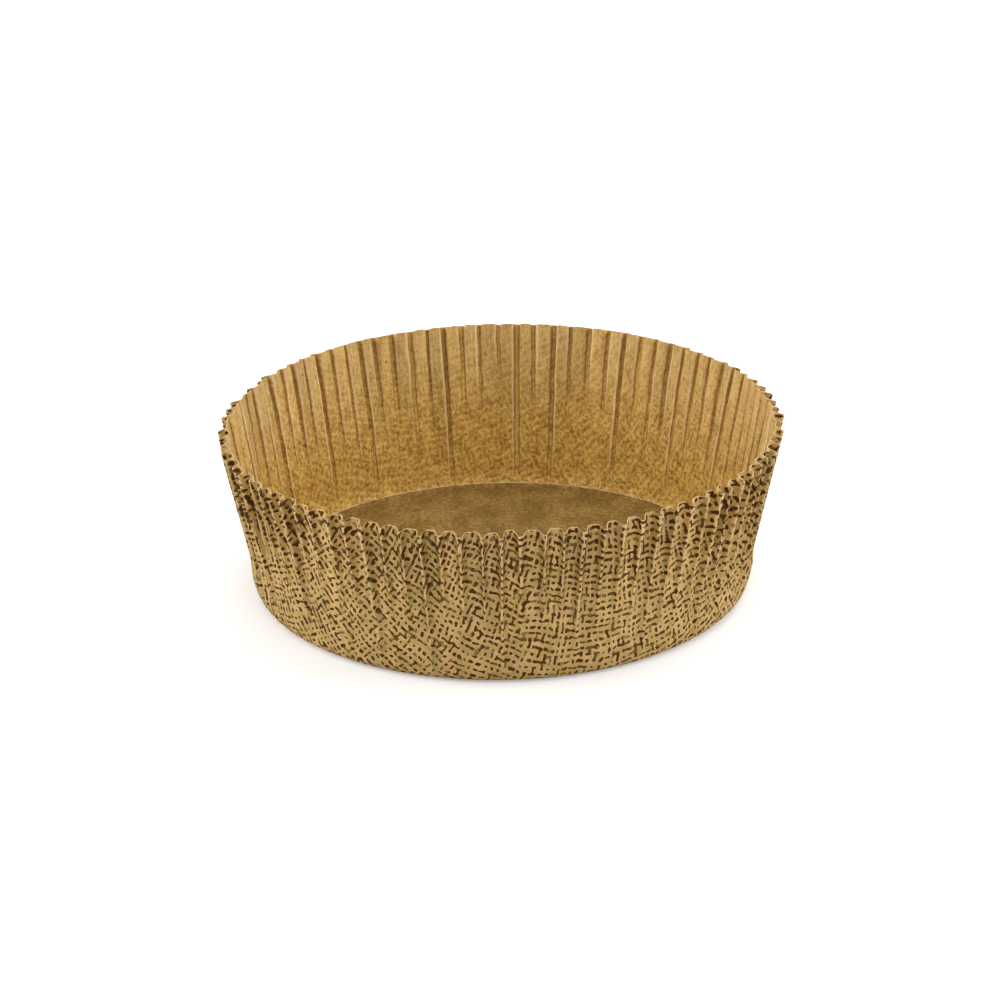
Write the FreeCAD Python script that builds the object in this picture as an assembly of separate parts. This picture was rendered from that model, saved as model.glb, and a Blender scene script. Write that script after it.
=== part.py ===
import FreeCAD, Part
import math
import os

# Pleated paper baking cup with a card disc in its bottom.
# Origin at the centre of the bottom, on the table; +Z up. Lengths in millimetres.

# Driving dimensions of the cup
rim_diameter = 152.0       # across the sharp outward ridges of the pleats, at the rim
ridge_height = 45.4        # from the table to the rim's low points, on the ridges
rim_scallop = 1.1          # the round hollows reach this much higher than the ridges
floor_diameter = 124.0     # flat part of the bottom
corner_radius = 4.5        # outside radius where the bottom turns up into the wall
paper_thickness = 0.25
pleat_count = 90
pleat_depth = 2.3          # from the ridges in to the hollows, at the rim
pleat_fade = 0.7           # 1 lets the pleats open evenly up the wall, lower values open them sooner
hollow_roundness = 2.2     # 1 folds the hollows to a V, higher values round them

# Driving dimensions of the card disc
card_thickness = 0.5
card_turn_up = 38.0        # degrees of the corner that the disc's edge follows
glue_gap = 0.05            # between the cup's floor and the disc

# How the folded sheet is faceted
wall_steps = 3
ridge_facet = 0.18         # share of a pleat's width that each facet beside a ridge takes

floor_radius = floor_diameter / 2
rim_radius = rim_diameter / 2
pleat_stations = [0.0, ridge_facet, 0.5, 1 - ridge_facet]    # from one ridge towards the next


def wall_lean():
    """Angle between the vertical and a wall that leaves the corner smoothly and ends at the rim."""
    out = rim_radius - floor_radius
    up = ridge_height - corner_radius
    return math.acos(corner_radius / math.hypot(out, up)) - math.atan2(up, out)


corner_turn = math.pi / 2 - wall_lean()
card_turn = math.radians(card_turn_up)
card_angles = [0.0, card_turn / 2, card_turn]
corner_angles = card_angles + [corner_turn]


def corner_point(inset, turned):
    """Radius and height of the sheet, set in from its outside, where it has turned up by an angle."""
    bend = corner_radius - inset
    return floor_radius + bend * math.sin(turned), corner_radius - bend * math.cos(turned)


def ridge_line():
    """Points up the outside of a ridge: radius, height, angle turned up, and how far up the wall."""
    points = [(*corner_point(0.0, turned), turned, 0.0) for turned in corner_angles]
    foot_radius, foot_height = corner_point(0.0, corner_turn)
    for step in range(1, wall_steps + 1):
        share = step / wall_steps
        radius = foot_radius + (rim_radius - foot_radius) * share
        height = foot_height + (ridge_height - foot_height) * share
        points.append((radius, height, corner_turn, share))
    return points


def pleated_ring(radius, height, share):
    """One closed ring of points round the outside of the sheet, in and out over every pleat."""
    ring = []
    for pleat in range(pleat_count):
        for station in pleat_stations:
            hollow = 1 - abs(2 * station - 1) ** hollow_roundness
            inward = pleat_depth * share ** pleat_fade * hollow
            angle = 2 * math.pi * (pleat + station) / pleat_count
            ring.append(FreeCAD.Vector((radius - inward) * math.cos(angle),
                                       (radius - inward) * math.sin(angle),
                                       height + rim_scallop * share * hollow))
    return ring


def inner_ring(ring, turned):
    """The same ring on the inside of the sheet, one paper thickness away."""
    inside = []
    for index, point in enumerate(ring):
        before = point - ring[index - 1]
        after = ring[(index + 1) % len(ring)] - point
        before.z = after.z = 0.0
        along = before.normalize() + after.normalize()
        mitre = 2 / along.Length
        along.normalize()
        outward = FreeCAD.Vector(along.y, -along.x, 0.0) * (mitre * math.sin(turned))
        downward = FreeCAD.Vector(0.0, 0.0, -math.cos(turned))
        inside.append(point - (outward + downward) * paper_thickness)
    return inside


class SharedFaces:
    """Flat faces whose corners and edges are shared, so that they close without sewing."""

    def __init__(self):
        self.edges = {}
        self.faces = []

    def edge(self, start, end):
        key = frozenset((start, end))
        if key not in self.edges:
            self.edges[key] = Part.Edge(start, end)
        return self.edges[key]

    def add(self, *corners):
        edges = [self.edge(corner, corners[index - 1]) for index, corner in enumerate(corners)]
        self.faces.append(Part.Face(Part.Wire(edges[1:] + edges[:1])))

    def solid(self):
        solid = Part.Solid(Part.Shell(self.faces))
        if solid.Volume < 0:
            solid.reverse()
        return solid


def sheet_between(faces, lower, upper, flat):
    """Faces the strip between two rings: four corners where it is flat, else mirrored pairs of three."""
    for index in range(len(lower)):
        start = index - 1
        first_half = start % len(pleat_stations) < len(pleat_stations) / 2
        if flat:
            faces.add(lower[start], lower[index], upper[index], upper[start])
        elif first_half:
            faces.add(lower[start], lower[index], upper[index])
            faces.add(lower[start], upper[index], upper[start])
        else:
            faces.add(lower[start], lower[index], upper[start])
            faces.add(lower[index], upper[index], upper[start])


def pleated_cup():
    """One sheet of paper: flat bottom, rounded corner and pleated wall, as a closed thin solid."""
    line = ridge_line()
    outer = [pleated_ring(radius, height, share) for radius, height, turned, share in line]
    inner = [inner_ring(ring, point[2]) for ring, point in zip(outer, line)]
    outer = [[Part.Vertex(point) for point in ring] for ring in outer]
    inner = [[Part.Vertex(point) for point in ring] for ring in inner]
    faces = SharedFaces()
    for side in (outer, inner):
        faces.add(*side[0])
        for level in range(len(line) - 1):
            sheet_between(faces, side[level], side[level + 1], flat=line[level + 1][3] == 0.0)
    sheet_between(faces, outer[-1], inner[-1], flat=False)
    return faces.solid()


def card_disc():
    """A round card that lies on the cup's floor, with its edge turned up a little into the corner."""
    under = paper_thickness + glue_gap
    over = under + card_thickness
    below = [(0.0, under)] + [corner_point(under, angle) for angle in card_angles]
    above = [(0.0, over)] + [corner_point(over, angle) for angle in card_angles]
    section = [FreeCAD.Vector(radius, 0.0, height) for radius, height in below + above[::-1]]
    outline = Part.makePolygon(section + section[:1])
    return Part.Face(outline).revolve(FreeCAD.Vector(), FreeCAD.Vector(0.0, 0.0, 1.0), 360.0)


os.makedirs("parts", exist_ok=True)
pleated_cup().exportStep("parts/pleated_cup.step")
card_disc().exportStep("parts/base_disc.step")
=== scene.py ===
"""Looks of a pleated paper baking cup with a brown card disc in its bottom.

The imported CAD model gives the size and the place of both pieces. Each is replaced by a finer mesh of the
same form: the cup's sheet with its uneven, creased pleats, and the card with its cut edge.
All lengths are in metres, +Z is up, and the origin is at the centre of the bottom, on the table.
"""

import math
import random
from collections import namedtuple

import bpy
from mathutils import Matrix, Vector, noise


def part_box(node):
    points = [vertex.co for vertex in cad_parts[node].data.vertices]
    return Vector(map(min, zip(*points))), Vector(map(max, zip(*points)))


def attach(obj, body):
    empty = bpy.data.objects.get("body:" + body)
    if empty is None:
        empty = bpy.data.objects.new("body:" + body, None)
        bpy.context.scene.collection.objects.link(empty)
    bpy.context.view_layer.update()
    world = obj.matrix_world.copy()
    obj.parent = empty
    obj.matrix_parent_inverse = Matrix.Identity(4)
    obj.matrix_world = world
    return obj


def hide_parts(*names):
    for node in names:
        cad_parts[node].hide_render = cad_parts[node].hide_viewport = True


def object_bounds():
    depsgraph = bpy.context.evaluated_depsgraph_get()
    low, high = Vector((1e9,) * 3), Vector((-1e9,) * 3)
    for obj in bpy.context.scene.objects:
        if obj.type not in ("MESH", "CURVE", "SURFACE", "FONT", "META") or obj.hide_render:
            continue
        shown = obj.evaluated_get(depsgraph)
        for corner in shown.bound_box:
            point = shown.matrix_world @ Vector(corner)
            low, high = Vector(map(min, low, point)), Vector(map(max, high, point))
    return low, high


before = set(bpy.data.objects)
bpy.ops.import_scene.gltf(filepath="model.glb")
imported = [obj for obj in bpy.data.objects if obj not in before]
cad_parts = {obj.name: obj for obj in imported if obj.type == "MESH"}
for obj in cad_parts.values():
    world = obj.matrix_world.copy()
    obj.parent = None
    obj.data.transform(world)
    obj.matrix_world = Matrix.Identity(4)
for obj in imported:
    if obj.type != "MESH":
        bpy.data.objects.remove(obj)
cad_low, cad_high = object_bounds()

MM = 0.001

# Sizes of the cup that follow from the frame
CUP_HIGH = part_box("pleated_cup")[1]
RIM_RADIUS = CUP_HIGH.x             # on the ridges of the pleats
RIM_SCALLOP = 1.1 * MM              # how much higher an even cup's hollows reach than its ridges
RIM_RISE = 0.42                     # the share of it that is left in front, where the rim is bent in
SIDE_RISE = 0.12                    # and at the sides
RIM_WAVER = 0.15 * MM               # how far the cut of the rim wavers up and down
RIDGE_HEIGHT = CUP_HIGH.z - RIM_SCALLOP

# The sheet and its pleats. Places across a pleat run from 0 on one ridge to 1 on the next
FLOOR_RADIUS = 62.0 * MM
CORNER_RADIUS = 4.5 * MM
PAPER = 0.25 * MM
THICKEST = 3.0                      # most that a steep flank is across, in thicknesses of the paper
FLANK_STRETCH = 0.6                 # the share of a flank's squared depth that the press stretched
PLEATS = 90
PLEAT_DEPTH = 2.3 * MM
SIDE_DEPTH = 0.22                   # how much deeper the pleats are at the sides, as a share
RIDGE_TOP = 0.05                    # half the width of a ridge's flat top
FLANK_END = 0.30                    # where its flank has run out into the hollow
RIM_RIDGE_TOP = 0.11                # the same two at the rim, where the ridges spread out
RIM_FLANK_END = 0.34
RIM_FLARE = 0.78                    # how far up the sheet they begin to spread
FLANK_POWER = 1.3                   # how quickly a soft ridge's flank falls; a crisp one has twice this
WIDENED_TO = 0.34                   # how far a wide ridge moves the paper beside it
WIGGLE = 0.05                       # how far a ridge strays to either side on its way up
WIGGLES = 7                         # and about how often
PANEL_START = 0.22                  # where the bulge of a hollow's panel begins
CREASE_REACH = 0.1                  # half the width of a hollow's third crease
CREASED_SHARE = 0.45                # how many of the hollows have one
DEEP_STEPS = 4, 4, 4, 2, 4, 5, 3, 4  # pleats from one deep ridge to the next, three times round

# How the cup differs from a round one
OVAL = 0.8 * MM
OVAL_TOWARDS = math.radians(66.0)
RIM_ASIDE = 0.45 * MM
RIM_ASIDE_TOWARDS = math.radians(20.0)
FULLNESS = 0.45 * MM                # how far the bottom edge stands out
FULL_UP_TO = 0.32                   # how far up the sheet it does
FULLER_SIDES = 0.8                  # how much more at the sides, and less in front

# The card disc
CARD = 0.5 * MM
CARD_TURN_UP = math.radians(38.0)
GLUE_GAP = 0.05 * MM
CARD_WAVE = 0.10 * MM               # how high it waves, at its edge
CARD_WAVE_MIDDLE = 0.3              # the share of that in its middle
RUBBED_WIDTH = 0.36 * MM            # of the worn strip along its upper edge

# How finely the sheet is divided: places across a pleat, and rows up the corner and the wall
PHASES = [0.0, 0.05, 0.085, 0.12, 0.155, 0.19, 0.25, 0.34, 0.5, 0.66, 0.75, 0.81, 0.845, 0.88, 0.915, 0.95]
COLUMNS = PLEATS * len(PHASES)
CORNER_ROWS = 5
WALL_ROWS = 26

# Rings of the cup's floor: share of its radius, and how many times fewer points than round its edge
FLOOR_RINGS = ((1.0, 1), (0.93, 3), (0.8, 6), (0.6, 12), (0.35, 24), (0.15, 60))

# Rings of the card's flat part, as shares of the floor's radius, then steps round its turned-up edge
CARD_RINGS = (0.12, 0.25, 0.38, 0.5, 0.62, 0.73, 0.83, 0.91, 0.96)
CARD_TURN_STEPS = 5
CARD_COLUMNS = 240

# Direction in which the printed weave lies in line with the wall, from the front towards the right
WEAVE_TURN = math.radians(20.0)


# ---------------- the section of the cup

def wall_lean():
    """Angle between the vertical and the wall, which leaves the corner smoothly and ends at the rim."""
    out = RIM_RADIUS - FLOOR_RADIUS
    up = RIDGE_HEIGHT - CORNER_RADIUS
    return math.acos(CORNER_RADIUS / math.hypot(out, up)) - math.atan2(up, out)


def corner_point(inset, turned):
    """Radius and height in the corner, set in from its outside, where it has turned up by an angle."""
    bend = CORNER_RADIUS - inset
    return FLOOR_RADIUS + bend * math.sin(turned), CORNER_RADIUS - bend * math.cos(turned)


CORNER_TURN = math.pi / 2 - wall_lean()
CORNER_LENGTH = CORNER_RADIUS * CORNER_TURN
FOOT_RADIUS, FOOT_HEIGHT = corner_point(0.0, CORNER_TURN)
WALL_LENGTH = math.hypot(RIM_RADIUS - FOOT_RADIUS, RIDGE_HEIGHT - FOOT_HEIGHT)
SHEET_LENGTH = CORNER_LENGTH + WALL_LENGTH

Row = namedtuple("Row", "along radius height turned")


def section_rows():
    """Rows of the sheet from the floor's edge to the rim. along runs from 0 to 1 up the sheet."""
    rows = []
    for step in range(CORNER_ROWS):
        turned = CORNER_TURN * step / CORNER_ROWS
        radius, height = corner_point(0.0, turned)
        rows.append(Row(CORNER_RADIUS * turned / SHEET_LENGTH, radius, height, turned))
    for step in range(WALL_ROWS + 1):
        share = step / WALL_ROWS
        radius = FOOT_RADIUS + (RIM_RADIUS - FOOT_RADIUS) * share
        height = FOOT_HEIGHT + (RIDGE_HEIGHT - FOOT_HEIGHT) * share
        rows.append(Row((CORNER_LENGTH + WALL_LENGTH * share) / SHEET_LENGTH, radius, height, CORNER_TURN))
    return rows


def direction(number, total=PLEATS):
    """Angle of one of a number of even places round the cup, from the front towards the right."""
    return 2 * math.pi * number / total - math.pi / 2


def on_circle(radius, angle, height):
    """The point at this radius, angle and height."""
    return Vector((radius * math.cos(angle), radius * math.sin(angle), height))


# ---------------- uneven pleats

Ridge = namedtuple("Ridge", "shift sway seed height start fade widen crisp")
Hollow = namedtuple("Hollow", "depth bulge skew crease_at crease_height crease_end")


def deep_ridges():
    """Numbers of the ridges that the press folded deepest."""
    numbers, number = set(), 0
    while number < PLEATS:
        for step in DEEP_STEPS:
            numbers.add(number % PLEATS)
            number += step
    return numbers


def weak_start(angle):
    """Where the weaker ridges usually start: highest in front and at the back, lowest on the right."""
    return 0.27 + 0.14 * math.cos(2 * (angle - math.radians(75))) - 0.1 * max(0.0, math.cos(angle))


def weak_delay(angle):
    """How late the weaker ridges rise, as a share of the latest: soonest towards the right front."""
    return 1 - 0.35 * abs(math.cos(angle)) - 0.3 * max(0.0, math.cos(angle + math.radians(25)))


def ridges_of(draw):
    """Small differences between the ridges: place, lean, height, where each starts, how late it rises, how
    wide its top is, and how crisply it is folded. The deep ones start at the wall's foot, others higher."""
    deep = deep_ridges()
    ridges = []
    for index in range(PLEATS):
        angle = direction(index)
        strong = index in deep
        ridges.append(Ridge(
            shift=draw.gauss(0, 0.04),
            sway=draw.gauss(0, 0.05),
            seed=draw.uniform(0, 100),
            height=draw.uniform(1.05, 1.2) if strong else min(1.15, max(0.55, draw.gauss(0.9, 0.14))),
            start=draw.uniform(0.02, 0.1) if strong else max(0.05, draw.gauss(weak_start(angle), 0.08)),
            fade=draw.uniform(0.6, 0.8) if strong else draw.uniform(1.2, 2.4) * weak_delay(angle),
            widen=draw.uniform(-0.02, 0.025) if strong else draw.uniform(-0.07, 0.0),
            crisp=draw.uniform(0.8, 1.0) if strong else draw.uniform(0.0, 0.5),
        ))
    return ridges


def hollows_of(draw):
    """Small differences between the hollows: how deep each is, how far its panel bulges out again between
    its two creases, and whether it has a third crease."""
    hollows = []
    for _ in range(PLEATS):
        creased = draw.random() < CREASED_SHARE
        hollows.append(Hollow(
            depth=max(0.65, draw.gauss(0.9, 0.1)),
            bulge=draw.uniform(-0.04, 0.12),
            skew=draw.gauss(0, 0.025),
            crease_at=draw.uniform(0.36, 0.64),
            crease_height=draw.choice((-1, 1)) * draw.uniform(0.15, 0.4) * MM if creased else 0.0,
            crease_end=draw.uniform(0.25, 0.8),
        ))
    return hollows


RIDGES = ridges_of(random.Random(11))
HOLLOWS = hollows_of(random.Random(23))


def around(pleat):
    """The ridge on the left of a hollow, the hollow, and the ridge on its right."""
    return RIDGES[pleat], HOLLOWS[pleat], RIDGES[(pleat + 1) % PLEATS]


def opened(ridge, along):
    """How far a ridge has risen at this place up the sheet: 0 at its start, 1 at the rim."""
    return max(0.0, (along - ridge.start) / (1 - ridge.start)) ** ridge.fade


def nearest_opened(row):
    """How far the nearest ridge has risen at each place round a row of the sheet."""
    values = []
    for pleat in range(PLEATS):
        left, _, right = around(pleat)
        for phase in PHASES:
            values.append(opened(left if phase < 0.5 else right, row.along))
    return values


def rough(point, size, seed):
    """Smooth noise from -1 to 1 whose bumps are about this size."""
    return noise.noise(Vector(point) / size + Vector((seed, 0.7 * seed, 0)))


def fold(away, along, crisp):
    """1 on a ridge's top, 0 in the hollow, and a flank between them that is steep beside the ridge and
    then runs out softly. away is a share of a pleat."""
    flare = max(0.0, (along - RIM_FLARE) / (1 - RIM_FLARE)) ** 1.5
    top = RIDGE_TOP + (RIM_RIDGE_TOP - RIDGE_TOP) * flare
    end = FLANK_END + (RIM_FLANK_END - FLANK_END) * flare
    across = min(1.0, max(0.0, (away - top) / (end - top)))
    return (1 - across) ** (FLANK_POWER + FLANK_POWER * crisp)


def panel_bulge(phase):
    """How a panel bulges out between the two creases of its hollow: 0 at the creases, 1 in the middle."""
    return max(0.0, 1 - ((phase - 0.5) / (0.5 - PANEL_START)) ** 2)


def ridge_place(ridge, along):
    """How far a ridge is from its even place, as a share of a pleat."""
    wiggle = WIGGLE * noise.noise(Vector((ridge.seed, WIGGLES * along, 0)))
    return ridge.shift + ridge.sway * along ** 1.5 + wiggle


def widened(ridge, away):
    """How far a ridge's own width moves the paper beside it, as a share of a pleat."""
    return ridge.widen * math.sin(math.pi * min(1.0, away / WIDENED_TO))


def pleat_angle(row, pleat, phase):
    """Direction of a place across a pleat, between two ridges that aren't quite in their even places."""
    left, hollow, right = around(pleat)
    start = pleat + ridge_place(left, row.along)
    end = pleat + 1 + ridge_place(right, row.along)
    spot = phase + widened(left, phase) - widened(right, 1 - phase)
    spot += hollow.skew * math.sin(math.pi * phase)
    return direction(start + (end - start) * spot)


def out_of_round(angle, along):
    """The rim is a little oval and leans a little aside. The bottom edge is fuller than a true arc, most
    so at the sides."""
    rim = OVAL * math.cos(2 * (angle - OVAL_TOWARDS)) + RIM_ASIDE * math.cos(angle - RIM_ASIDE_TOWARDS)
    full = math.sin(math.pi * min(1.0, along / FULL_UP_TO)) ** 2
    return rim * along + full * FULLNESS * (1 + FULLER_SIDES * math.cos(2 * angle))


def bumps(row, angle, size, squeeze, seed):
    """Smooth noise on the wall. A low squeeze draws its bumps out up the wall."""
    x, y = math.cos(angle) * row.radius, math.sin(angle) * row.radius
    return rough((x, y, squeeze * row.height), size, seed)


def crumpled(row, angle):
    """The paper's own unevenness: long waves, small dents, and fine flutes that run up the wall and are
    deepest near its foot."""
    wave = 0.35 * MM * bumps(row, angle, size=22 * MM, squeeze=0.45, seed=3.1) * row.along
    dents = 0.10 * MM * bumps(row, angle, size=3.0 * MM, squeeze=0.6, seed=8.7) * min(1.0, 3 * row.along)
    foot = math.sin(math.pi * min(1.0, row.along / 0.4))
    flutes = (0.05 + 0.07 * foot) * MM * bumps(row, angle, size=1.3 * MM, squeeze=0.08, seed=13.3)
    return wave + dents + flutes * min(1.0, 8 * row.along)


def pleat_relief(row, pleat, phase, left_top, right_top):
    """How far a place stands out from the line of even ridges, as a share of the pleats' depth."""
    left, hollow, right = around(pleat)
    left_open, right_open = opened(left, row.along), opened(right, row.along)
    inward = (left_open * (1 - phase) + right_open * phase) * hollow.depth * (1 - left_top - right_top)
    inward *= 1 - hollow.bulge * panel_bulge(phase)
    beyond = left_top * left_open * (left.height - 1) + right_top * right_open * (right.height - 1)
    return beyond - inward


def third_crease(hollow, along, phase):
    """How far the third crease of a hollow stands out, or in where it is below 0."""
    crease = max(0.0, 1 - abs(phase - hollow.crease_at) / CREASE_REACH)
    return crease * hollow.crease_height * max(0.0, (along - hollow.crease_end) / (1 - hollow.crease_end))


def outside_point(row, pleat, phase):
    """A point on the outside of the sheet: radius, angle and height."""
    left, hollow, right = around(pleat)
    angle = pleat_angle(row, pleat, phase)
    left_top, right_top = fold(phase, row.along, left.crisp), fold(1 - phase, row.along, right.crisp)
    side = math.cos(angle) ** 2
    depth = PLEAT_DEPTH * (1 + SIDE_DEPTH * side * row.along)
    out = depth * pleat_relief(row, pleat, phase, left_top, right_top)
    out += third_crease(hollow, row.along, phase) + crumpled(row, angle) + out_of_round(angle, row.along)
    share = RIM_RISE + (SIDE_RISE - RIM_RISE) * side
    rise = RIM_SCALLOP * share * (1 - left_top - right_top) * row.along
    rise += RIM_WAVER * noise.noise(Vector((left.seed, right.seed, 3 * phase))) * row.along ** 4
    radius = row.radius + out * math.sin(row.turned)
    height = row.height - out * math.cos(row.turned) + rise
    return radius, angle, max(height, 0.0)


def inner_points(row, polar):
    """The inside of the sheet, one paper thickness from the outside, also on the pleats' steep flanks."""
    points = []
    for index, (radius, angle, height) in enumerate(polar):
        before, after = polar[index - 1], polar[(index + 1) % len(polar)]
        turn = (after[1] - before[1]) % (2 * math.pi)
        slope = (after[0] - before[0]) / (radius * turn)
        across = PAPER * min(THICKEST, math.hypot(1, slope)) * math.sin(row.turned)
        points.append(on_circle(radius - across, angle, height + PAPER * math.cos(row.turned)))
    return points


def sheet_place(reach, turn):
    """A place on the flat sheet in the direction of the printed weave."""
    return reach * math.cos(turn - WEAVE_TURN), reach * math.sin(turn - WEAVE_TURN)


def paper_between(first, second):
    """How much of the flat sheet lies between two points of a row. The steep flanks take less of it than
    they measure, because the press stretched them."""
    inward = first.xy.length - second.xy.length
    return math.sqrt((first - second).length_squared - FLANK_STRETCH * inward * inward)


def flat_places(row, points):
    """Where the points of a row lie on the flat round sheet that the cup is pressed from.
    The last place is the first one again, a full turn on."""
    reach = FLOOR_RADIUS + SHEET_LENGTH * row.along
    places = []
    count = len(PHASES)
    for pleat in range(PLEATS):
        ring = [points[(pleat * count + step) % COLUMNS] for step in range(count + 1)]
        lengths = [paper_between(a, b) for a, b in zip(ring, ring[1:])]
        run, total = 0.0, sum(lengths)
        for length in lengths:
            places.append(sheet_place(reach, direction(pleat + run / total)))
            run += length
    places.append(places[0])
    return places


def sheet_rows(rows):
    """Outside points, inside points and flat-sheet places of every row."""
    outside, inside, flat = [], [], []
    for row in rows:
        polar = [outside_point(row, pleat, phase) for pleat in range(PLEATS) for phase in PHASES]
        points = [on_circle(*p) for p in polar]
        outside.append(points)
        inside.append(inner_points(row, polar))
        flat.append(flat_places(row, points))
    return outside, inside, flat


# ---------------- meshes

def add_object(name, data):
    """A new object in the scene."""
    made = bpy.data.objects.new(name, data)
    bpy.context.scene.collection.objects.link(made)
    return made


class MeshMaker:
    """Collects faces with their maps, and makes one object of them."""

    def __init__(self, name):
        self.name = name
        self.points = []
        self.faces = []
        self.slots = []
        self.maps = {"sheet": [], "pleats": [], "OFBake": []}
        self.folds = []
        self.sharp = set()

    def add_points(self, points, folds=None):
        """folds says how far the nearest ridge has risen at each point, where the paper is pleated."""
        first = len(self.points)
        self.points.extend(points)
        self.folds.extend(folds or [0.0] * len(points))
        return list(range(first, len(self.points)))

    def add_face(self, corners, slot, flipped=False):
        """corners are (point number, place on the sheet, place on the pleats, place on the bake map)."""
        corners = corners[::-1] if flipped else corners
        self.faces.append([corner[0] for corner in corners])
        self.slots.append(slot)
        for values, kind in zip(self.maps.values(), (1, 2, 3)):
            for corner in corners:
                values.extend(corner[kind])

    def sharpen(self, ring):
        """Keeps the edge along a closed ring of points sharp."""
        for index, point in enumerate(ring):
            self.sharp.add(frozenset((ring[index - 1], point)))

    def make(self, materials):
        mesh = bpy.data.meshes.new(self.name)
        mesh.from_pydata(self.points, [], self.faces)
        for material in materials:
            mesh.materials.append(material)
        mesh.polygons.foreach_set("material_index", self.slots)
        mesh.polygons.foreach_set("use_smooth", [True] * len(self.faces))
        for name, values in self.maps.items():
            mesh.uv_layers.new(name=name).data.foreach_set("uv", values)
        mesh.attributes.new("folds", "FLOAT", "POINT").data.foreach_set("value", self.folds)
        mesh.edges.foreach_set("use_edge_sharp", [frozenset(e.vertices) in self.sharp for e in mesh.edges])
        mesh.validate()
        return add_object(self.name, mesh)


# Where the sides of the cup lie on its bake map. The wall and the cut edge lie there in strips
BakeArea = namedtuple("BakeArea", "left low width height")
OUTSIDE_MAP = BakeArea(0.0, 0.41, 1.0, 0.59)
INSIDE_MAP = BakeArea(0.31, 0.0, 0.69, 0.40)
UNDER_MAP = BakeArea(0.0, 0.10, 0.30, 0.30)
FLOOR_MAP = BakeArea(0.0, 0.0, 0.09, 0.09)
EDGE_MAP = BakeArea(0.10, 0.0, 0.20, 0.09)
MARGIN = 0.004
STRIPS = 3
STRIP_PLEATS = PLEATS // STRIPS

# Where the sides of the card lie on its own bake map
CARD_TOP_MAP = BakeArea(0.0, 0.0, 0.76, 0.76)
CARD_UNDER_MAP = BakeArea(0.765, 0.0, 0.235, 0.235)
CARD_EDGE_MAP = BakeArea(0.0, 0.77, 1.0, 0.2)

PRINTED, PLAIN, CUT = range(3)                  # the cup's materials
CARD_FACE, CARD_CUT, CARD_RUBBED = range(3)     # the card's


def strip_corner(area, strip, pleat, share):
    """Where a place in a strip lies on the bake map: so many pleats from the front, and a share up it."""
    high = area.height / STRIPS
    x = area.left + MARGIN + (area.width - 2 * MARGIN) * (pleat - strip * STRIP_PLEATS) / STRIP_PLEATS
    y = area.low + high * strip + MARGIN + (high - 2 * MARGIN) * share
    return x, y


def disc_corner(area, radius, angle, full_radius):
    """Where a place on a disc lies on the bake map."""
    reach = 0.5 * radius / full_radius * (1 - 2 * MARGIN / area.width)
    return (area.left + area.width * (0.5 + reach * math.cos(angle)),
            area.low + area.height * (0.5 + reach * math.sin(angle)))


def pleat_number(column):
    """How many pleats lie between the front and a column of points."""
    pleat, step = divmod(column, len(PHASES))
    return pleat + PHASES[step]


def wall_corner(ring, flat, column, along, area, strip, share):
    """The corner of a face on the pleated wall or its cut edge, at a column of a ring of points."""
    number = pleat_number(column)
    return ring[column % COLUMNS], flat[column], (number, along), strip_corner(area, strip, number, share)


def add_wall(maker, rings, rows, flat, area, slot, outward):
    """One side of the wall, as faces between neighbouring rings of points."""
    for level in range(len(rings) - 1):
        for column in range(COLUMNS):
            strip = column // (COLUMNS // STRIPS)
            corners = []
            for across, up in ((0, 0), (1, 0), (1, 1), (0, 1)):
                along = rows[level + up].along
                corners.append(wall_corner(rings[level + up], flat[level + up], column + across, along,
                                           area, strip, along))
            maker.add_face(corners, slot, flipped=not outward)


def add_rim(maker, outer, inner, flat):
    """The cut edge of the sheet along the rim."""
    for column in range(COLUMNS):
        strip = column // (COLUMNS // STRIPS)
        corners = [wall_corner(ring, flat[-1], column + across, 1.0, EDGE_MAP, strip, depth)
                   for ring, across, depth in ((outer, 0, 0), (outer, 1, 0), (inner, 1, 1), (inner, 0, 1))]
        maker.add_face(corners, CUT)
    maker.sharpen(outer)
    maker.sharpen(inner)


def add_floor(maker, ring, height, area, slot, upward):
    """The round bottom inside a ring of points, with fewer points in each ring towards the middle."""
    levels = [(share * FLOOR_RADIUS, len(ring) // fewer) for share, fewer in FLOOR_RINGS]
    rings = [ring]
    for reach, count in levels[1:]:
        rings.append(maker.add_points([on_circle(reach, direction(index, count), height)
                                       for index in range(count)]))
    middle = maker.add_points([(0.0, 0.0, height)])[0]
    centre = (middle, (0.0, 0.0), (0.0, 0.0), disc_corner(area, 0.0, 0.0, FLOOR_RADIUS))

    def corner(level, index):
        reach, count = levels[level]
        angle = direction(index, count)
        return (rings[level][index % count], sheet_place(reach, angle),
                (PLEATS * index / count, 0.0), disc_corner(area, reach, angle, FLOOR_RADIUS))

    def put(*corners):
        maker.add_face(corners, slot, flipped=not upward)

    for level, ((_, many), (_, few)) in enumerate(zip(levels, levels[1:])):
        inner = 0
        for index in range(many):
            if (index + 1) * few / many > inner + 0.5 and inner < few:
                put(corner(level, index), corner(level + 1, inner + 1), corner(level + 1, inner))
                inner += 1
            put(corner(level, index), corner(level, index + 1), corner(level + 1, inner))
    last = len(levels) - 1
    for index in range(levels[last][1]):
        put(corner(last, index), corner(last, index + 1), centre)


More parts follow.
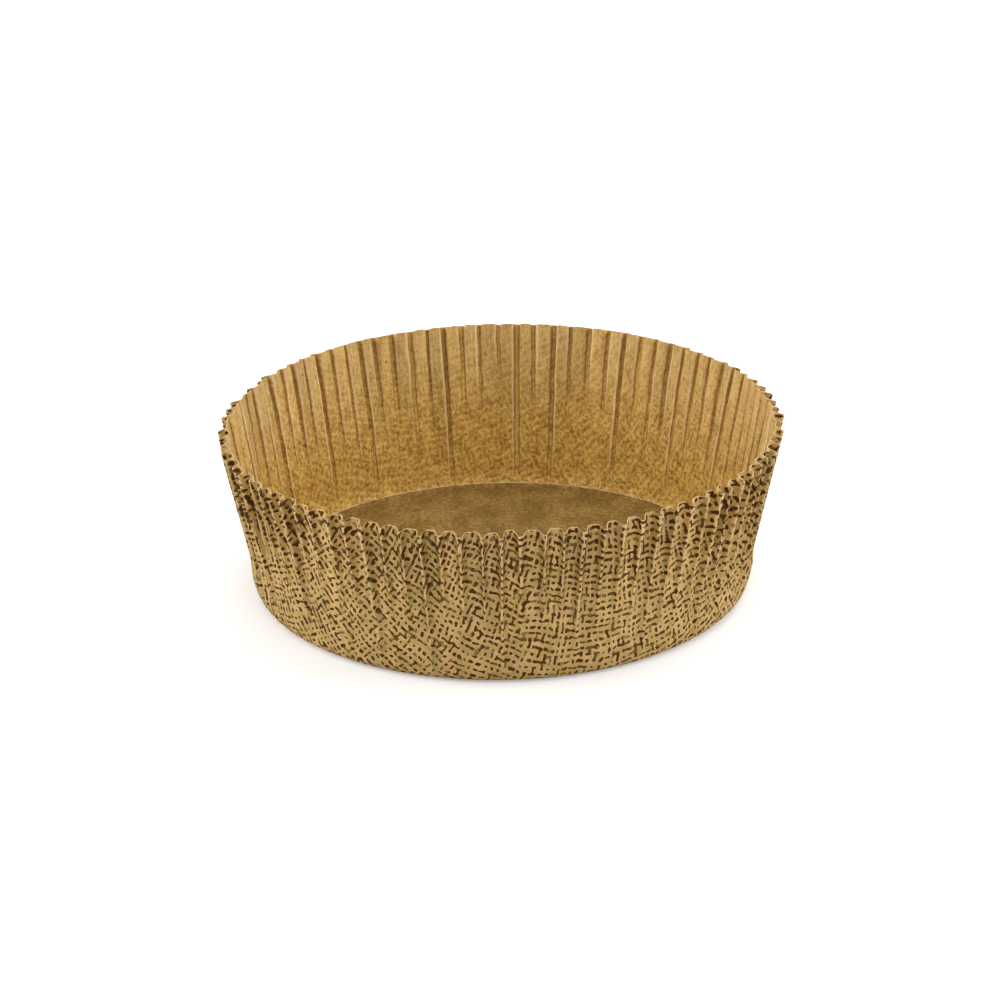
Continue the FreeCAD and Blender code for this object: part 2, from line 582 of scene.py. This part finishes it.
def make_cup(materials):
    """The whole cup: outside, inside, cut rim, and both sides of the bottom."""
    maker = MeshMaker("pleated_cup_paper")
    rows = section_rows()
    outside, inside, flat = sheet_rows(rows)
    folds = [nearest_opened(row) for row in rows]
    outer = [maker.add_points(ring, risen) for ring, risen in zip(outside, folds)]
    inner = [maker.add_points(ring, risen) for ring, risen in zip(inside, folds)]
    add_wall(maker, outer, rows, flat, OUTSIDE_MAP, PRINTED, outward=True)
    add_wall(maker, inner, rows, flat, INSIDE_MAP, PLAIN, outward=False)
    add_rim(maker, outer[-1], inner[-1], flat)
    add_floor(maker, outer[0], 0.0, UNDER_MAP, PRINTED, upward=False)
    add_floor(maker, inner[0], PAPER, FLOOR_MAP, PLAIN, upward=True)
    return maker.make(materials)


def card_section():
    """Section of the card's underside, from its middle to its edge: radius, height, how far turned up."""
    under = PAPER + GLUE_GAP
    points = [(FLOOR_RADIUS * share, under, 0.0) for share in CARD_RINGS]
    rubbed = RUBBED_WIDTH / (CORNER_RADIUS - under)
    turns = [(CARD_TURN_UP - rubbed) * step / CARD_TURN_STEPS for step in range(CARD_TURN_STEPS + 1)]
    for turned in turns + [CARD_TURN_UP]:
        points.append((*corner_point(under, turned), turned))
    return points


CARD_SECTION = card_section()
CARD_REACH = CARD_SECTION[-1][0] + CARD


def card_ring(radius, height, turned, over):
    """A ring of points on the card, this far over its underside. The card waves, most so at its edge."""
    share = CARD_WAVE_MIDDLE + (1 - CARD_WAVE_MIDDLE) * radius / CARD_REACH
    points = []
    for column in range(CARD_COLUMNS):
        angle = 2 * math.pi * column / CARD_COLUMNS
        reach = radius - over * math.sin(turned)
        place = (reach * math.cos(angle), reach * math.sin(angle), 0.0)
        lift = CARD_WAVE * (1 + rough(place, 26 * MM, 2.2)) * share
        points.append((place[0], place[1], height + over * math.cos(turned) + lift))
    return points


def card_corner(ring, level, column, area):
    """The corner of a face on the card, at a column of a ring of points."""
    angle = 2 * math.pi * column / CARD_COLUMNS
    radius = CARD_SECTION[level][0]
    return (ring[column % CARD_COLUMNS], (radius * math.cos(angle), radius * math.sin(angle)),
            (PLEATS * column / CARD_COLUMNS, 0.0), disc_corner(area, radius, angle, CARD_REACH))


def add_card_side(maker, over, area, upward):
    """One side of the card, this far over its underside. Gives its rings of points."""
    rings = [maker.add_points(card_ring(*place, over)) for place in CARD_SECTION]
    middle = maker.add_points([(0.0, 0.0, PAPER + GLUE_GAP + over + CARD_WAVE_MIDDLE * CARD_WAVE)])[0]
    centre = (middle, (0.0, 0.0), (0.0, 0.0), disc_corner(area, 0.0, 0.0, CARD_REACH))
    last = len(rings) - 1
    for column in range(CARD_COLUMNS):
        first, second = (card_corner(rings[0], 0, column + across, area) for across in (0, 1))
        maker.add_face([centre, first, second], CARD_FACE, flipped=not upward)
        for level in range(last):
            corners = [card_corner(rings[level + out], level + out, column + across, area)
                       for across, out in ((0, 0), (0, 1), (1, 1), (1, 0))]
            rubbed = upward and level == last - 1
            maker.add_face(corners, CARD_RUBBED if rubbed else CARD_FACE, flipped=not upward)
    return rings


def make_card(materials):
    """The card disc: a flat face, an edge that turns up a little, and a pale cut edge."""
    maker = MeshMaker("base_disc_card")
    top = add_card_side(maker, CARD, CARD_TOP_MAP, upward=True)[-1]
    under = add_card_side(maker, 0.0, CARD_UNDER_MAP, upward=False)[-1]
    area, last = CARD_EDGE_MAP, len(CARD_SECTION) - 1
    for column in range(CARD_COLUMNS):
        corners = []
        for ring, across, over in ((under, 0, 0), (under, 1, 0), (top, 1, 1), (top, 0, 1)):
            index, flat, pleat, _ = card_corner(ring, last, column + across, area)
            x = area.left + area.width * (column + across) / CARD_COLUMNS
            corners.append((index, flat, pleat, (x, area.low + area.height * over)))
        maker.add_face(corners, CARD_CUT)
    maker.sharpen(under)
    maker.sharpen(top)
    return maker.make(materials)


# ---------------- the nodes of a material

def colour(red, green, blue):
    """A colour as it is seen on a screen, from 0 to 255, as the light amounts that a shader takes."""
    def amount(value):
        value /= 255
        return value / 12.92 if value <= 0.04045 else ((value + 0.055) / 1.055) ** 2.4
    return amount(red), amount(green), amount(blue), 1.0


def add_node(tree, kind, inputs=None, **settings):
    """A node with these settings. Its inputs are set to values or linked to the outputs of other nodes."""
    made = tree.nodes.new(kind)
    for name, value in settings.items():
        setattr(made, name, value)
    for name, value in (inputs or {}).items():
        if isinstance(value, bpy.types.NodeSocket):
            tree.links.new(value, made.inputs[name])
        else:
            made.inputs[name].default_value = value
    return made


class Look:
    """One material and the nodes that make its pattern."""

    def __init__(self, name):
        self.material = bpy.data.materials.new(name)
        self.material.use_nodes = True
        self.tree = self.material.node_tree
        self.tree.nodes.clear()

    def node(self, kind, inputs=None, **settings):
        return add_node(self.tree, kind, inputs, **settings)

    def place(self, layer):
        """Places on one of the mesh's maps."""
        return self.node("ShaderNodeUVMap", uv_map=layer).outputs["UV"]

    def parts(self, place):
        """The first two numbers of a place."""
        outputs = self.node("ShaderNodeSeparateXYZ", {0: place}).outputs
        return outputs[0], outputs[1]

    def maths(self, operation, first, second=0.0, third=0.0):
        return self.node("ShaderNodeMath", {0: first, 1: second, 2: third}, operation=operation).outputs[0]

    def plus(self, first, second):
        return self.maths("ADD", first, second)

    def minus(self, first, second):
        return self.maths("SUBTRACT", first, second)

    def times(self, first, second):
        return self.maths("MULTIPLY", first, second)

    def times_plus(self, first, second, third):
        return self.maths("MULTIPLY_ADD", first, second, third)

    def apart(self, first, second):
        """How far two values are apart."""
        return self.maths("ABSOLUTE", self.minus(first, second))

    def swing(self, value, amount):
        """A value from 0 to 1 as one that goes from minus half of this amount to plus half of it."""
        return self.times(self.minus(value, 0.5), amount)

    def vector(self, operation, first, second):
        return self.node("ShaderNodeVectorMath", {0: first, 1: second}, operation=operation).outputs[0]

    def noise(self, place, size, detail=2.0, rough=0.5, output="Fac", seed=0.0):
        """Smooth noise with bumps of about this size in metres."""
        moved = self.vector("ADD", place, (seed, 0.37 * seed, 0.0)) if seed else place
        made = self.node("ShaderNodeTexNoise", {"Vector": moved, "Scale": 1 / size, "Detail": detail,
                                                "Roughness": rough}, noise_dimensions="2D")
        return made.outputs[output]

    def chance(self, first, second):
        """A random value from 0 to 1 for each pair of numbers."""
        pair = self.node("ShaderNodeCombineXYZ", {0: first, 1: second}).outputs[0]
        made = self.node("ShaderNodeTexWhiteNoise", {"Vector": pair}, noise_dimensions="2D")
        return made.outputs["Value"]

    def spread(self, value, low, high, to_low=0.0, to_high=1.0, smooth=True):
        """Takes a value from one range to another, and no further."""
        kind = "SMOOTHSTEP" if smooth else "LINEAR"
        made = self.node("ShaderNodeMapRange", {"Value": value, "From Min": low, "From Max": high,
                                                "To Min": to_low, "To Max": to_high},
                         interpolation_type=kind)
        return made.outputs[0]

    def mix(self, share, first, second, blend="MIX"):
        """Two colours blended. They are the Mix node's inputs 6 and 7, and its output 2 is a colour."""
        inputs = {0: share, 6: first, 7: second}
        return self.node("ShaderNodeMix", inputs, data_type="RGBA", blend_type=blend).outputs[2]

    def shade(self, body, amount):
        """The colour times an amount that varies over the surface."""
        grey = self.node("ShaderNodeCombineColor", {0: amount, 1: amount, 2: amount}).outputs[0]
        return self.mix(1.0, body, grey, blend="MULTIPLY")

    def mottle(self, body, pattern, reach, amount):
        """The colour, darker and lighter by up to this amount as a pattern goes this far from 0.5."""
        return self.shade(body, self.spread(pattern, 0.5 - reach, 0.5 + reach, 1 - amount, 1 + amount,
                                            smooth=False))

    def finish(self, body, roughness, height, strength, distance, specular):
        """The material with this colour, roughness, gloss, and bumps of this height."""
        bump = self.node("ShaderNodeBump", {"Height": height, "Strength": strength, "Distance": distance})
        shader = self.node("ShaderNodeBsdfPrincipled", {"Base Color": body, "Roughness": roughness,
                                                        "Specular IOR Level": specular,
                                                        "Normal": bump.outputs[0]})
        self.node("ShaderNodeOutputMaterial", {"Surface": shader.outputs[0]})
        return self.material


# ---------------- patterns

WARP_PITCH = 1.8 * MM
WEFT_PITCH = 2.0 * MM

PleatPattern = namedtuple("PleatPattern", "away along risen lot one_side")


def another(look, lot, factor):
    """A second random value from 0 to 1, made from the first."""
    return look.maths("FRACT", look.times(lot, factor))


def hole_spots(look, lot, across_away, along_away):
    """A round spot in each hole of the weave, or one drawn out across or along. Above 0 in the spot."""
    wide = look.spread(lot, 0.35, 0.9, 0.0, 0.27, smooth=False)
    tall = look.spread(lot, 0.30, 0.0, 0.0, 0.24, smooth=False)
    size = look.times_plus(another(look, lot, 29.0), 0.08, 0.195)
    beyond_wide = look.maths("MAXIMUM", look.minus(across_away, wide), 0.0)
    beyond_tall = look.maths("MAXIMUM", look.minus(along_away, tall), 0.0)
    reach = look.maths("SQRT", look.plus(look.times(beyond_wide, beyond_wide),
                                         look.times(beyond_tall, beyond_tall)))
    return look.minus(size, reach)


def open_gap(look, number, between, away, share):
    """A dash between two neighbouring holes, where the gap between two threads lies open: above 0 in the
    dash. number and between are the pair of numbers that the dash has, away is how far its middle line is,
    and share says how many of the gaps are open."""
    lot = look.chance(number, between)
    is_open = look.maths("LESS_THAN", lot, share)
    height = look.times_plus(another(look, lot, 37.0), 0.06, 0.455)
    return look.minus(look.times_plus(is_open, height, -0.3), away)


def woven_print(look, dashes=True):
    """A printed coarse weave: a dark round or longish spot in each hole where the gaps between threads
    cross, and dashes where a gap lies open from one hole to the next. Gives the place on the sheet, a
    level above 0 in the holes and below 0 on the threads, and a random value for each crossing."""
    place = look.place("sheet")
    drift = look.noise(place, 12 * MM, detail=1.0, output="Color", seed=3.0)
    wander = look.noise(place, 2.2 * MM, detail=1.0, output="Color", seed=7.0)
    shift = look.vector("ADD", look.vector("MULTIPLY", drift, [2.6 * MM] * 3),
                        look.vector("MULTIPLY", wander, [0.95 * MM] * 3))
    moved = look.vector("ADD", place, shift)
    across, along = look.parts(look.vector("MULTIPLY", moved, (1 / WARP_PITCH, 1 / WEFT_PITCH, 0.0)))
    column, row = look.maths("ROUND", across), look.maths("ROUND", along)
    across_away, along_away = look.apart(across, column), look.apart(along, row)
    spots = hole_spots(look, look.chance(column, row), across_away, along_away)
    crossing = look.maths("FLOOR", across), look.maths("FLOOR", along)
    cell = look.chance(*crossing)
    if not dashes:
        return place, spots, cell
    share = look.spread(look.noise(place, 6 * MM, detail=1.0, seed=5.0), 0.35, 0.65, 0.06, 0.26)
    warp = open_gap(look, look.plus(crossing[0], 0.5), row, along_away, share)
    weft = open_gap(look, column, look.plus(crossing[1], 0.5), across_away, share)
    return place, look.maths("MAXIMUM", spots, look.maths("MAXIMUM", warp, weft)), cell


def across_pleat(look):
    """Where a place lies across its pleat, from 0 on the ridge to 0.5 in the hollow, with ragged edges,
    how far up the sheet it is, how far its ridge has risen there, and two values for each ridge: a random
    one from 0 to 1, and one that is 1 on one of its sides and 0 on the other."""
    number, along = look.parts(look.place("pleats"))
    ragged = look.noise(look.place("sheet"), 1.5 * MM, detail=2.0, seed=17.0)
    from_hollow = look.plus(number, 0.5)
    ridge = look.maths("FLOOR", from_hollow)
    lot = look.chance(look.maths("MODULO", ridge, float(PLEATS)), 0.5)
    whole = look.maths("FRACT", from_hollow)
    is_right = look.maths("GREATER_THAN", whole, 0.5)
    one_side = look.apart(is_right, look.maths("LESS_THAN", lot, 0.5))
    away = look.plus(look.apart(whole, 0.5), look.swing(ragged, 0.06))
    risen = look.node("ShaderNodeAttribute", attribute_name="folds").outputs["Fac"]
    return PleatPattern(away, along, risen, lot, one_side)


def panel_tone_and_shade(look, along, seed):
    """How light each panel is: a random tone per panel, partly painted shade of panels that tilt
    differently, most so near the rim.
    """
    number, _ = look.parts(look.place("pleats"))
    panel = look.maths("MODULO", look.maths("FLOOR", number), float(PLEATS))
    difference = look.minus(look.chance(panel, seed), 0.5)
    return look.times_plus(difference, look.spread(along, 0.25, 0.7, 0.0, 0.2), 1.0)


def pleat_streaks(look, width, seed):
    """Streaks that run up the wall, about this wide as a share of a pleat."""
    stretched = look.vector("MULTIPLY", look.place("pleats"), (1.0, 0.8, 1.0))
    return look.noise(stretched, width, detail=2.0, rough=0.6, seed=seed)


# ---------------- the cup's materials

# The third tan is the ridges' pale line: partly worn paper, partly a painted highlight
PINK_TAN, OLIVE_TAN, RUBBED_HIGHLIT_TAN = colour(196, 160, 106), colour(178, 151, 90), colour(214, 186, 144)
INK, DEEP_INK = colour(84, 54, 17), colour(58, 32, 4)
# Painted shade for the steep flanks of the ridges
PAINTED_FLANK_SHADE = colour(196, 178, 126)
LIGHT_GOLD, DEEP_GOLD, PALE_GOLD = colour(220, 180, 95), colour(202, 159, 80), colour(200, 168, 112)
FLOC, INK_SEEN_THROUGH, SPECK = colour(122, 88, 32), colour(126, 90, 34), colour(84, 58, 28)
# The crest and panel-edge colours are painted highlights
CREST_HIGHLIGHT, PANEL_EDGE_HIGHLIGHT, GROOVE = colour(210, 178, 128), colour(228, 198, 150), colour(216, 175, 96)
# Painted shadow for the creases
CREASE_SHADOW = colour(112, 76, 26)


def rubbed_and_highlit_ridges(look, pleat, beside):
    """Where the ink is rubbed off along the ridges that have risen, and where a painted highlight lies
    along them, in some places more than in others.
    """
    worn = look.spread(pleat_streaks(look, 0.9, 63.0), 0.35, 0.6, 0.15, 1.0)
    rubbed = look.times(look.spread(beside, 0.075, 0.04), look.spread(pleat.risen, 0.05, 0.4))
    return look.times(rubbed, worn)


def printed_paper():
    """Kraft paper printed like a coarse woven cloth: dark brown holes on tan threads with a pink or an
    olive tinge, rubbed pale along the ridges with a painted highlight there, and with painted shade on
    their flanks."""
    look = Look("printed_kraft")
    place, weave, cell = woven_print(look)
    pleat = across_pleat(look)
    fibre = look.noise(place, 0.3 * MM, detail=3.0, rough=0.7, seed=41.0)
    ragged = look.noise(place, 0.5 * MM, detail=1.0, seed=21.0)
    beside = look.minus(pleat.away, look.spread(pleat.along, 0.88, 1.0, 0.0, 0.05))
    rubbed = rubbed_and_highlit_ridges(look, pleat, beside)
    level = look.minus(look.plus(weave, look.swing(ragged, 0.16)), look.times(rubbed, 0.03))
    level = look.plus(level, look.spread(pleat.along, 0.55, 0.95, 0.0, 0.03))

    patch = look.noise(place, 4.0 * MM, detail=3.0, rough=0.65, seed=31.0)
    tint = look.spread(look.times_plus(cell, 0.2, patch), 0.48, 0.74)
    thread = look.mottle(look.mix(tint, PINK_TAN, OLIVE_TAN), fibre, 0.3, 0.14)
    thread = look.mottle(thread, look.noise(place, 5 * MM, detail=3.0, seed=45.0), 0.3, 0.16)
    # Painted highlight: the threads lighter beside the holes, where their edges catch the light, and darker
    # between
    thread = look.shade(thread, look.spread(level, -0.32, -0.08, 0.91, 1.07))
    # Pale ridge lines: partly rubbed ink, partly a painted highlight
    thread = look.mix(look.times(rubbed, 0.45), thread, RUBBED_HIGHLIT_TAN)

    faded = look.spread(look.noise(place, 1.7 * MM, detail=0.0, seed=25.0), 0.25, 0.4, 0.65, 1.0)
    faded = look.times(faded, look.spread(tint, 0.75, 1.0, 1.0, 0.85))
    ink = look.times(look.spread(level, -0.06, 0.05), faded)
    dark = look.mix(look.noise(place, 1.5 * MM, seed=51.0), INK, DEEP_INK)
    # A random tone per panel, partly painted shade
    body = look.shade(look.mix(ink, thread, dark), panel_tone_and_shade(look, pleat.along, 7.5))
    # Painted shade: the flanks of the ridges darker up the wall, where shadow falls between the folds
    flank = look.times(look.spread(beside, 0.05, 0.10), look.spread(beside, 0.34, 0.2))
    flank = look.times(flank, look.spread(pleat.along, 0.25, 0.8))
    body = look.mix(look.times(flank, 0.55), body, PAINTED_FLANK_SHADE, blend="MULTIPLY")
    roughness = look.spread(fibre, 0.2, 0.8, 0.62, 0.78, smooth=False)
    return look.finish(body, roughness, fibre, strength=0.35, distance=0.06 * MM, specular=0.08)


def golden_paper(look, place, weave, along, streaks):
    """The plain side of the paper: golden, with darker flocs and the print seen through it, and paler and
    more even up the wall."""
    patch = look.noise(place, 3.5 * MM, detail=3.0, rough=0.65, seed=61.0)
    gold = look.mix(look.spread(patch, 0.35, 0.65), LIGHT_GOLD, DEEP_GOLD)
    gold = look.mix(look.spread(along, 0.35, 0.95, 0.0, 0.45), gold, PALE_GOLD)
    strength = look.times(look.spread(patch, 0.3, 0.7, 0.5, 1.0, smooth=False),
                          look.spread(along, 0.45, 1.0, 0.86, 0.42))
    flocs = look.noise(place, 1.0 * MM, detail=3.5, rough=0.6, seed=65.0)
    flocs = look.spread(look.plus(flocs, look.swing(streaks, 0.4)), 0.43, 0.66)
    ragged = look.noise(place, 0.7 * MM, detail=2.0, seed=21.0)
    through = look.spread(look.plus(weave, look.swing(ragged, 0.7)), -0.16, 0.12)
    body = look.mix(look.times(flocs, strength), gold, FLOC)
    return look.mix(look.times(through, look.times(strength, 0.7)), body, INK_SEEN_THROUGH)


def fold_marks(look, body, pleat, streaks):
    """The marks of the folds on the plain side: a painted highlight on the crests between the ridges, a
    paler painted highlight along one edge of each crest, a light groove behind some ridges, and a painted
    shadow in the crease on both sides of each."""
    # Painted highlight on the crests near the rim
    crest = look.times(look.spread(pleat.away, 0.19, 0.28), look.spread(pleat.along, 0.3, 0.9))
    crest = look.times(crest, look.spread(streaks, 0.38, 0.6, 0.0, 0.6))
    body = look.mix(look.times(crest, 0.6), body, CREST_HIGHLIGHT)
    # Painted highlight along one edge of each crest, stronger on one side
    edge = look.spread(look.apart(pleat.away, 0.21), 0.085, 0.02)
    edge = look.times(edge, look.spread(pleat.risen, 0.03, 0.65))
    edge = look.times(edge, look.times_plus(pleat.one_side, 0.8, 0.2))
    body = look.mix(look.times(edge, 0.7), body, PANEL_EDGE_HIGHLIGHT)
    groove = look.times(look.spread(pleat.away, 0.15, 0.06), look.spread(pleat.risen, 0.03, 0.45))
    groove = look.times(groove, look.spread(pleat.lot, 0.45, 1.0))
    body = look.mix(look.times(groove, 0.75), body, GROOVE)
    # Painted shadow in the crease on both sides of each ridge
    crease = look.spread(look.apart(pleat.away, 0.12), 0.05, 0.015)
    crease = look.times(crease, look.spread(pleat.risen, 0.005, 0.3))
    return look.mix(look.times(crease, 0.5), body, CREASE_SHADOW)


def plain_paper():
    """The unprinted inside of the paper, with the marks of its folds, partly painted highlight and shadow,
    fine fibres and a few specks.
    """
    look = Look("plain_kraft")
    place, weave, _ = woven_print(look, dashes=False)
    pleat = across_pleat(look)
    streaks = pleat_streaks(look, 0.12, 67.0)
    body = golden_paper(look, place, weave, pleat.along, streaks)
    body = fold_marks(look, body, pleat, streaks)
    # A random tone per panel, partly painted shade
    body = look.shade(body, panel_tone_and_shade(look, pleat.along, 9.5))
    fibre = look.noise(place, 0.45 * MM, detail=4.0, rough=0.75, seed=71.0)
    body = look.mottle(body, fibre, 0.2, 0.22)
    # Lighter and darker streaks up the wall: partly the paper's own tone, partly painted highlight and
    # shade of its fine flutes
    body = look.mottle(body, streaks, 0.25, 0.12)
    body = look.mottle(body, pleat_streaks(look, 0.05, 73.0), 0.25, 0.06)
    specks = look.node("ShaderNodeTexVoronoi", {"Vector": place, "Scale": 1 / (20 * MM)},
                       voronoi_dimensions="2D").outputs["Distance"]
    body = look.mix(look.spread(specks, 0.02, 0.01, 0.0, 0.85), body, SPECK)
    roughness = look.spread(fibre, 0.2, 0.8, 0.5, 0.66, smooth=False)
    return look.finish(body, roughness, fibre, strength=0.35, distance=0.06 * MM, specular=0.1)


def cut_paper(name, pale, deep):
    """The cut edge of paper or card: paler, and rough with cut fibres."""
    look = Look(name)
    fibre = look.noise(look.place("sheet"), 0.4 * MM, detail=3.0, rough=0.7, seed=81.0)
    body = look.mix(look.spread(fibre, 0.3, 0.7), pale, deep)
    return look.finish(body, 0.8, fibre, strength=0.4, distance=0.05 * MM, specular=0.1)


# ---------------- the card's materials

def brown_card():
    """Smooth brown card with soft mottled fibres and a few dark specks."""
    look = Look("brown_card_face")
    place = look.place("sheet")
    drawn_out = look.vector("MULTIPLY", place, (0.6, 1.0, 1.0))
    streak = look.noise(drawn_out, 0.9 * MM, detail=4.0, rough=0.65, seed=91.0)
    cloud = look.noise(place, 9 * MM, detail=3.0, seed=95.0)
    fibre = look.noise(place, 0.7 * MM, detail=3.0, rough=0.7, seed=93.0)
    speck = look.noise(place, 0.6 * MM, detail=1.0, seed=97.0)
    body = look.mix(look.spread(cloud, 0.35, 0.65), colour(141, 111, 59), colour(121, 93, 45))
    body = look.mottle(body, streak, 0.14, 0.32)
    body = look.mottle(body, fibre, 0.14, 0.25)
    body = look.mix(look.spread(speck, 0.68, 0.76, 0.0, 0.5), body, colour(96, 68, 34))
    roughness = look.spread(streak, 0.2, 0.8, 0.5, 0.64, smooth=False)
    return look.finish(body, roughness, streak, strength=0.25, distance=0.05 * MM, specular=0.12)


def rubbed_card():
    """The card's upper edge, where the brown face is rubbed through to the pale core here and there."""
    look = Look("rubbed_card_edge")
    place = look.place("sheet")
    along = look.noise(place, 2.6 * MM, detail=3.0, rough=0.7, seed=83.0)
    fibre = look.noise(place, 0.5 * MM, detail=2.0, rough=0.7, seed=87.0)
    pale = look.spread(look.times_plus(fibre, 0.5, along), 0.62, 0.82, 0.15, 1.0)
    body = look.mix(pale, colour(146, 114, 66), colour(204, 172, 128))
    return look.finish(body, 0.75, fibre, strength=0.3, distance=0.05 * MM, specular=0.1)


# ---------------- stage, light and camera

STAGE_HALF = 6.0
STAGE_LEVEL = -0.05 * MM            # a hair below the cup, so that the two faces don't coincide
STAGE_GREY = (0.8, 0.8, 0.8, 1.0)
STAGE_GLOW = 0.3                    # which the camera sees on top of that
WHITE = (1.0, 1.0, 1.0, 1.0)
WORLD_LIGHT = 0.51

# Softboxes: where each stands, how wide it is and its power in watts
SOFTBOXES = {
    "left_light": ((-0.98, 0.0, 0.38), 0.65, 6.8),
    "right_light": ((0.98, -0.08, 0.36), 0.65, 5.6),
    "top_light": ((0.2, 0.3, 1.05), 0.9, 6.6),
    "front_light": ((0.0, -0.85, 1.0), 0.8, 4.7),
}

CAMERA_DISTANCE = 1.064
CAMERA_ELEVATION = math.radians(24.2)
CAMERA_ROLL = -0.017
CAMERA_LENS = 141.0                 # Blender takes this one and the sensor's width in millimetres
CAMERA_SENSOR = 36.0
CAMERA_AIM_ASIDE = Vector((-0.4 * MM, 0.0, 0.3 * MM))


def make_stage():
    """A white floor that keeps the cup's soft shadow."""
    mesh = bpy.data.meshes.new("stage_floor")
    corners = [(x * STAGE_HALF, y * STAGE_HALF, STAGE_LEVEL)
               for x, y in ((-1, -1), (1, -1), (1, 1), (-1, 1))]
    mesh.from_pydata(corners, [], [(0, 1, 2, 3)])
    floor = add_object("stage_floor", mesh)
    look = Look("stage_white")
    seen = look.node("ShaderNodeLightPath").outputs["Is Camera Ray"]
    plain = look.node("ShaderNodeBsdfDiffuse", {"Color": STAGE_GREY})
    glow = look.node("ShaderNodeEmission", {"Color": WHITE, "Strength": look.times(seen, STAGE_GLOW)})
    both = look.node("ShaderNodeAddShader", {0: plain.outputs[0], 1: glow.outputs[0]})
    look.node("ShaderNodeOutputMaterial", {"Surface": both.outputs[0]})
    mesh.materials.append(look.material)


def make_world():
    """White all round: pure white where the camera sees it, and weaker as a light."""
    world = bpy.data.worlds.new("studio")
    bpy.context.scene.world = world
    world.use_nodes = True
    tree = world.node_tree
    tree.nodes.clear()
    seen = add_node(tree, "ShaderNodeLightPath").outputs["Is Camera Ray"]
    strength = add_node(tree, "ShaderNodeMapRange", {"Value": seen, "To Min": WORLD_LIGHT, "To Max": 1.0})
    background = add_node(tree, "ShaderNodeBackground", {"Color": WHITE, "Strength": strength.outputs[0]})
    add_node(tree, "ShaderNodeOutputWorld", {"Surface": background.outputs[0]})


def add_softbox(name, place, target, size, power):
    """A square lamp that faces the target."""
    light = bpy.data.lights.new(name, "AREA")
    light.shape = "SQUARE"
    light.size = size
    light.energy = power
    lamp = add_object(name, light)
    lamp.location = place
    lamp.rotation_euler = (target - Vector(place)).to_track_quat("-Z", "Y").to_euler()


def make_camera(middle):
    """A long lens that looks a little down at the cup from the front."""
    camera = bpy.data.cameras.new("camera")
    camera.sensor_width = CAMERA_SENSOR
    camera.lens = CAMERA_LENS
    holder = add_object("camera", camera)
    towards_camera = Vector((0.0, -math.cos(CAMERA_ELEVATION), math.sin(CAMERA_ELEVATION)))
    holder.location = Vector((middle.x, middle.y, 0.0)) + CAMERA_DISTANCE * towards_camera
    aim = (middle + CAMERA_AIM_ASIDE - holder.location).to_track_quat("-Z", "Y").to_matrix().to_4x4()
    holder.rotation_euler = (aim @ Matrix.Rotation(CAMERA_ROLL, 4, "Z")).to_euler()
    bpy.context.scene.camera = holder


# ---------------- the scene

middle = (cad_low + cad_high) / 2
cut_edge = cut_paper("cut_paper_edge", colour(214, 184, 140), colour(182, 148, 102))
cup = make_cup([printed_paper(), plain_paper(), cut_edge])
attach(cup, "root")
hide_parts("pleated_cup")

cut_card = cut_paper("cut_card_edge", colour(200, 166, 118), colour(166, 130, 82))
card = make_card([brown_card(), cut_card, rubbed_card()])
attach(card, "root")
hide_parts("base_disc")

make_stage()
make_world()
for name, (place, size, power) in SOFTBOXES.items():
    add_softbox(name, place, middle, size, power)
make_camera(middle)
bpy.context.scene.view_settings.view_transform = "Standard"
